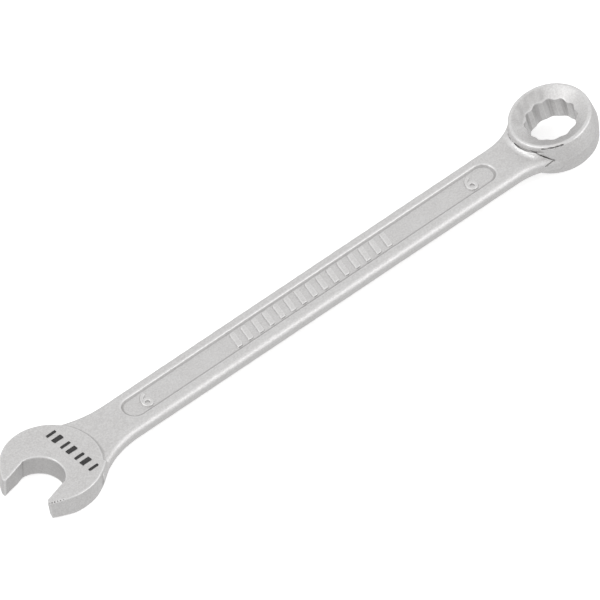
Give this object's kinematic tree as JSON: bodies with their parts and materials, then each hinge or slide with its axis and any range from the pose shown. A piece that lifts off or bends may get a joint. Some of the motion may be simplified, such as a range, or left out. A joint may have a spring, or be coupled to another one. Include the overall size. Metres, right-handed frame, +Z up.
{
  "type": "combination wrench",
  "caption": "Flat combination wrench: angled open-end jaw at one end, tipped 12-point ring at the other, on a slim shank with a recessed panel.",
  "frame": {"origin": "middle of the bottom of the whole tool's bounding box, under the shank", "axes": "+X along the shank from the open end to the ring, +Z up out of the face that carries the marks, +Y across the shank towards the longer outer side of the jaw turned away from the mouth"},
  "size_m": [0.097, 0.0128, 0.0073],
  "materials": {
    "satin_chrome": "fine shot-blasted steel under thin satin chrome plating",
    "black_print": "matt black pad-printed ink"
  },
  "bodies": {
    "root": {"open_end_head": "satin_chrome", "shank": "satin_chrome", "ring_head": "satin_chrome", "size_numeral_open_end": "satin_chrome", "size_numeral_ring_end": "satin_chrome", "raised_ribs": "satin_chrome", "printed_mark": "black_print"}
  },
  "joints": []
}
